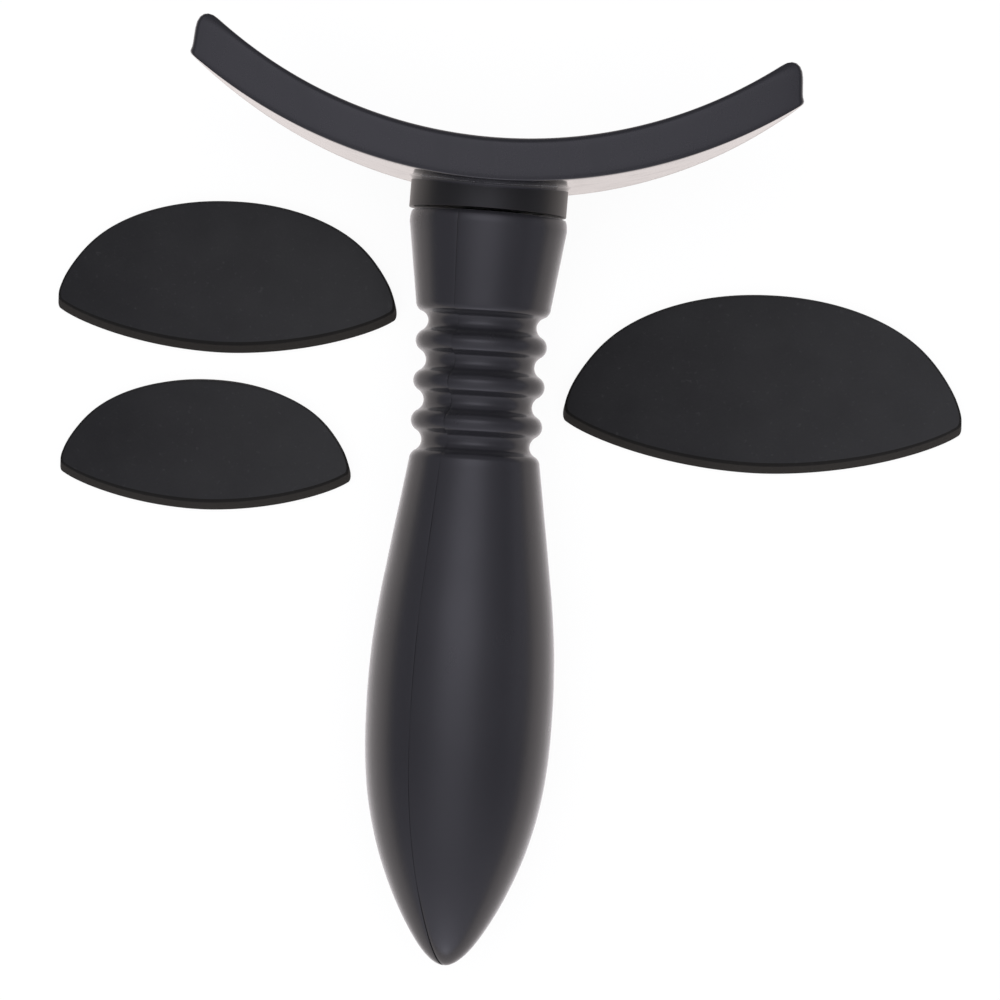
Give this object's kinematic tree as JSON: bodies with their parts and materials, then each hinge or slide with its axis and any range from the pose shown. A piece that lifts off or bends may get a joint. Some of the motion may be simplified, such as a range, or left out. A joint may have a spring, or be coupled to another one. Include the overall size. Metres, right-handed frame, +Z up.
{
  "type": "eyeshadow stamp",
  "caption": "Eyeshadow stamp: a turned black grip with finger rings on a curved half-moon head, lying beside its loose soft half-moon pads.",
  "frame": {"origin": "middle of the whole set's box, on the surface that it lies on", "axes": "+Z up from that surface, +Y along the grip towards the head, +X to the right with the head away from the viewer"},
  "size_m": [0.0906, 0.09, 0.0241],
  "materials": {
    "black_plastic": "matte moulded black",
    "black_silicone": "soft matte black",
    "cling_layer": "tacky dark grey"
  },
  "bodies": {
    "head": {"stamp_head": "black_plastic"},
    "handle": {"handle_shell_left": "black_plastic", "handle_shell_right": "black_plastic"},
    "small_pad": {"pad_small": "black_silicone", "pad_small_backing": "cling_layer"},
    "medium_pad": {"pad_medium": "black_silicone", "pad_medium_backing": "cling_layer"},
    "large_pad": {"pad_large": "black_silicone", "pad_large_backing": "cling_layer"}
  },
  "joints": [
    {"name": "handle_turn", "type": "hinge", "parent": "head", "child": "handle", "pos_m": [-0.00277, 0.02862, 0.01049], "axis": [0, 0.9996, 0.0285], "continuous": true},
    {"name": "small_pad_lift", "type": "slide", "parent": "head", "child": "small_pad", "axis": [0, 0, 1], "range_m": [0, 0.04]},
    {"name": "medium_pad_lift", "type": "slide", "parent": "head", "child": "medium_pad", "axis": [0, 0, 1], "range_m": [0, 0.04]},
    {"name": "large_pad_lift", "type": "slide", "parent": "head", "child": "large_pad", "axis": [0, 0, 1], "range_m": [0, 0.04]}
  ]
}
